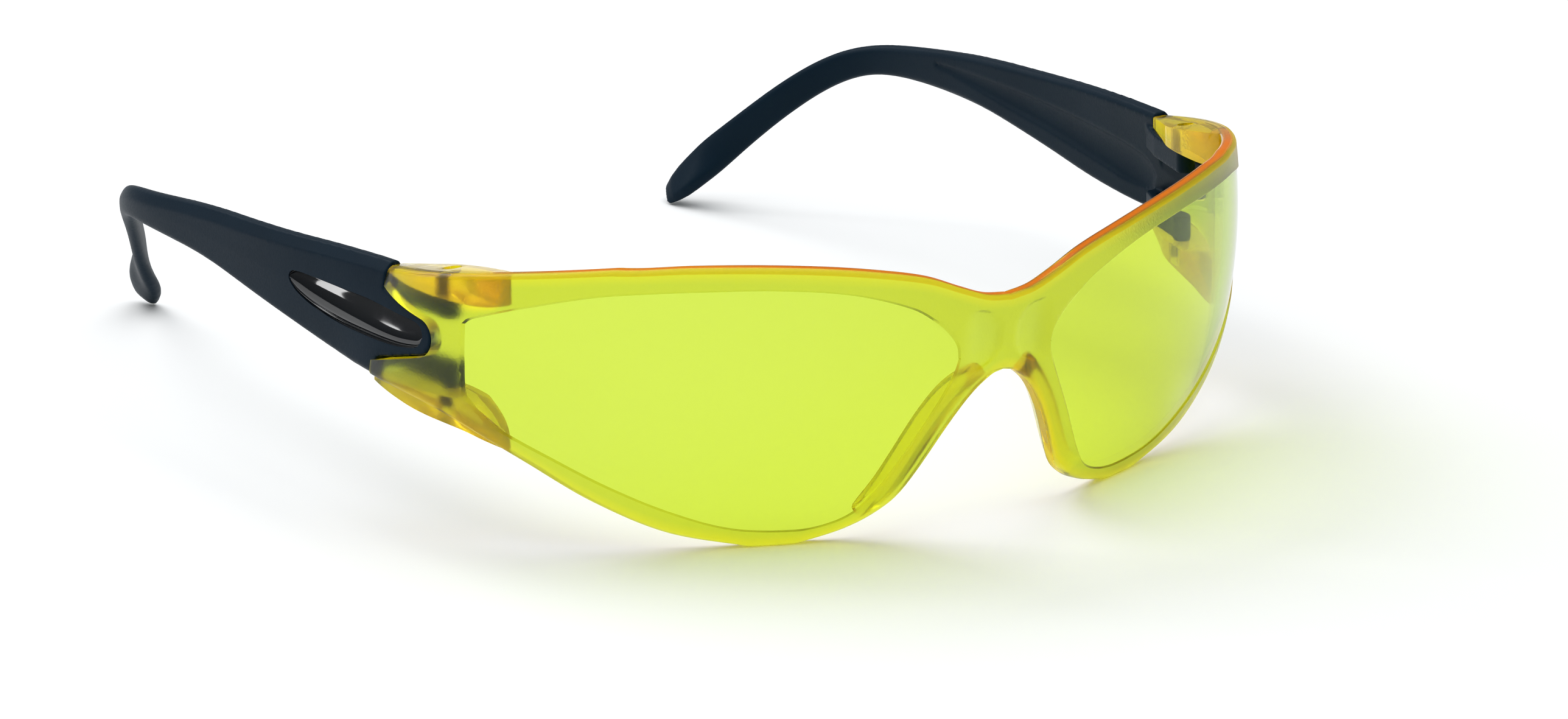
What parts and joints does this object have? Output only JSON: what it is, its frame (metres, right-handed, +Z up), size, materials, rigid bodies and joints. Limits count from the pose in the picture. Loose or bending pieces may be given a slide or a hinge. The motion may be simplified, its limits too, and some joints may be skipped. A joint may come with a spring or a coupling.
{
  "type": "safety glasses",
  "caption": "Wrap-around safety glasses: one tinted polycarbonate shield with moulded nose flanges and hinge lugs, and two hooked temples that fold inwards.",
  "frame": {"origin": "on the surface that the open glasses stand on, in the middle of their footprint", "axes": "+X to the wearer's left, +Y from the shield back along the temples, +Z up"},
  "size_m": [0.1466, 0.1775, 0.0463],
  "materials": {
    "shield": "yellow tinted polycarbonate, polished viewing zones and a fine grained rim",
    "temple": "blue-black nylon, fine matte grain, polished recess"
  },
  "bodies": {
    "shield": {"front_shield": "shield"},
    "right_temple": {"temple_right": "temple"},
    "left_temple": {"temple_left": "temple"}
  },
  "joints": [
    {"name": "right_temple_fold", "type": "hinge", "parent": "shield", "child": "right_temple", "pos_m": [-0.065, -0.0371, 0.0296], "axis": [0, 0, -1], "range_deg": [0, 90]},
    {"name": "left_temple_fold", "type": "hinge", "parent": "shield", "child": "left_temple", "pos_m": [0.065, -0.0371, 0.0296], "axis": [0, 0, 1], "range_deg": [0, 80]}
  ]
}
